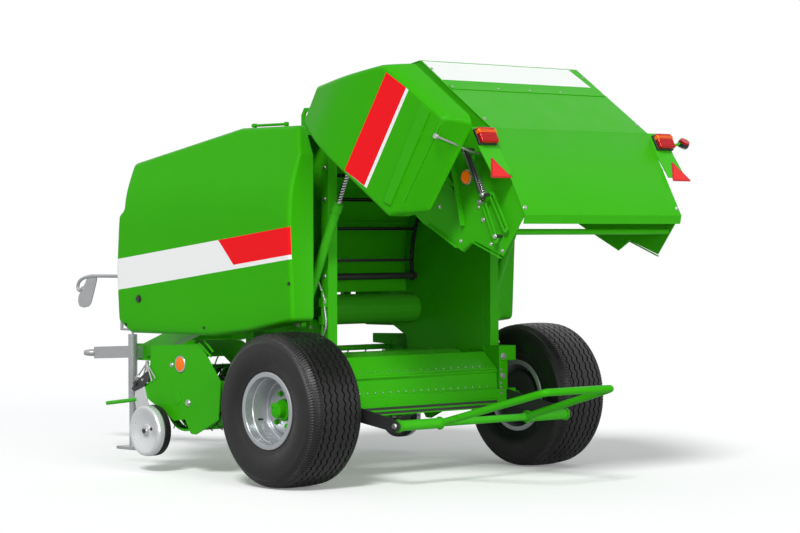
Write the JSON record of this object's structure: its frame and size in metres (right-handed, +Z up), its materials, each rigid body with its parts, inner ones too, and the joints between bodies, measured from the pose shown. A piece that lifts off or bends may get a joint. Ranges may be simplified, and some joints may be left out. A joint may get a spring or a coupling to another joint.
{
  "type": "round baler",
  "caption": "Trailed round baler with its tailgate raised: fixed chamber, tined pickup, side covers, bale kicker, drawbar with hitch eye and parking jack.",
  "frame": {"origin": "on the ground under the middle of the machine's length and width, tailgate raised", "axes": "+X forward to the tractor, +Y to the left side, +Z up"},
  "size_m": [4.8254, 2.358, 2.3759],
  "materials": {
    "green_paint": "gloss",
    "tyre_rubber": "matt",
    "rim_silver": "satin",
    "gauge_steel": "satin",
    "dark_steel": "satin",
    "grey_steel": "satin",
    "spring_steel": "satin",
    "red_lens": "gloss",
    "rod_chrome": "polished"
  },
  "bodies": {
    "frame": {"axle_beam": "green_paint", "chassis_frame": "green_paint", "rear_cross_plate": "green_paint", "chamber_wall_left": "green_paint", "chamber_wall_right": "green_paint", "rear_posts": "green_paint", "front_wall": "green_paint", "front_conveyor": "green_paint", "front_hood": "green_paint", "lifting_eyes": "green_paint", "cylinder_brackets": "green_paint", "pickup_hangers": "green_paint", "drawbar_frame": "green_paint", "drawbar_tongue": "grey_steel", "hitch_eye": "grey_steel", "jack_sleeve": "green_paint", "gearbox": "green_paint", "pto_stub": "dark_steel", "kicker_brackets": "green_paint", "gate_catches": "green_paint", "hose_holder": "grey_steel"},
    "wheel_left": {"tyre_left": "tyre_rubber", "rim_left": "rim_silver", "hub_left": "green_paint"},
    "wheel_right": {"tyre_right": "tyre_rubber", "rim_right": "rim_silver", "hub_right": "green_paint"},
    "front_drum": {"front_roller": "green_paint"},
    "floor_drum": {"floor_roller": "green_paint"},
    "rotor": {"feed_rotor": "dark_steel"},
    "pickup": {"pickup_side_plate_left": "green_paint", "pickup_side_plate_right": "green_paint", "stripper_bands": "green_paint", "gauge_arms": "grey_steel", "crop_guard": "green_paint"},
    "reel": {"pickup_reel": "dark_steel"},
    "gauge_left": {"gauge_wheel_left": "gauge_steel"},
    "gauge_right": {"gauge_wheel_right": "gauge_steel"},
    "tailgate": {"tailgate_wall_left": "green_paint", "tailgate_wall_right": "green_paint", "tailgate_skin": "green_paint", "tailgate_arms": "green_paint", "tailgate_side_cover_left": "green_paint", "tailgate_side_cover_right": "green_paint", "tailgate_cross_tube": "green_paint", "tailgate_conveyor": "green_paint", "lamp_brackets": "green_paint", "tail_lamps": "red_lens", "warning_triangles": "red_lens", "bale_springs": "spring_steel"},
    "barrel_left": {"cylinder_barrel_left": "green_paint"},
    "barrel_right": {"cylinder_barrel_right": "green_paint"},
    "rod_left": {"cylinder_rod_left": "rod_chrome"},
    "rod_right": {"cylinder_rod_right": "rod_chrome"},
    "kicker": {"bale_kicker": "green_paint"},
    "cover_left": {"front_side_cover_left": "green_paint"},
    "cover_right": {"front_side_cover_right": "green_paint"},
    "jack": {"jack_leg": "green_paint"}
  },
  "joints": [
    {"name": "wheel_spin_left", "type": "hinge", "parent": "frame", "child": "wheel_left", "pos_m": [-0.91729, 0.982, 0.437], "axis": [0, 1, 0], "continuous": true},
    {"name": "wheel_spin_right", "type": "hinge", "parent": "frame", "child": "wheel_right", "pos_m": [-0.91729, -0.982, 0.437], "axis": [0, 1, 0], "continuous": true},
    {"name": "front_roller_spin", "type": "hinge", "parent": "frame", "child": "front_drum", "pos_m": [-0.20229, 0, 0.962], "axis": [0, 1, 0], "continuous": true},
    {"name": "floor_roller_spin", "type": "hinge", "parent": "frame", "child": "floor_drum", "pos_m": [-0.58729, 0, 0.64], "axis": [0, 1, 0], "continuous": true},
    {"name": "rotor_spin", "type": "hinge", "parent": "frame", "child": "rotor", "pos_m": [-0.27729, 0, 0.6], "axis": [0, 1, 0], "continuous": true},
    {"name": "pickup_lift", "type": "hinge", "parent": "frame", "child": "pickup", "pos_m": [-0.21729, 0, 0.69], "axis": [0, 1, 0], "range_deg": [0, 9]},
    {"name": "reel_spin", "type": "hinge", "parent": "pickup", "child": "reel", "pos_m": [0.15771, 0, 0.445], "axis": [0, 1, 0], "continuous": true},
    {"name": "gauge_spin_left", "type": "hinge", "parent": "pickup", "child": "gauge_left", "pos_m": [0.34471, 1.019, 0.25], "axis": [0, 1, 0], "continuous": true},
    {"name": "gauge_spin_right", "type": "hinge", "parent": "pickup", "child": "gauge_right", "pos_m": [0.34471, -1.019, 0.25], "axis": [0, 1, 0], "continuous": true},
    {"name": "tailgate_lift", "type": "hinge", "parent": "frame", "child": "tailgate", "pos_m": [-0.86729, 0, 1.95], "axis": [0, 1, 0], "range_deg": [-55, 0]},
    {"name": "cylinder_swing_left", "type": "hinge", "parent": "frame", "child": "barrel_left", "pos_m": [-0.71829, 0.735, 0.908], "axis": [0, 1, 0], "range_deg": [-1, 6]},
    {"name": "cylinder_stroke_left", "type": "slide", "parent": "barrel_left", "child": "rod_left", "axis": [-0.4323, 0, 0.9017], "range_m": [-0.2921, 0.004]},
    {"name": "cylinder_swing_right", "type": "hinge", "parent": "frame", "child": "barrel_right", "pos_m": [-0.71829, -0.735, 0.908], "axis": [0, 1, 0], "range_deg": [-1, 6]},
    {"name": "cylinder_stroke_right", "type": "slide", "parent": "barrel_right", "child": "rod_right", "axis": [-0.4323, 0, 0.9017], "range_m": [-0.2921, 0.004]},
    {"name": "kicker_swing", "type": "hinge", "parent": "frame", "child": "kicker", "pos_m": [-1.46729, 0, 0.358], "axis": [0, 1, 0], "range_deg": [-28, 12]},
    {"name": "cover_open_left", "type": "hinge", "parent": "frame", "child": "cover_left", "pos_m": [-0.61729, 0.876, 2.046], "axis": [1, 0, 0], "range_deg": [0, 70]},
    {"name": "cover_open_right", "type": "hinge", "parent": "frame", "child": "cover_right", "pos_m": [-0.61729, -0.876, 2.046], "axis": [-1, 0, 0], "range_deg": [0, 70]},
    {"name": "jack_slide", "type": "slide", "parent": "frame", "child": "jack", "axis": [0, 0, 1], "range_m": [0, 0.27]}
  ],
  "couplings": [
    {"joint": "cylinder_swing_left", "follows": "tailgate_lift", "ratio": -0.09538},
    {"joint": "cylinder_stroke_left", "follows": "tailgate_lift", "m_per_rad": 0.30016},
    {"joint": "cylinder_swing_right", "follows": "tailgate_lift", "ratio": -0.09538},
    {"joint": "cylinder_stroke_right", "follows": "tailgate_lift", "m_per_rad": 0.30016}
  ]
}
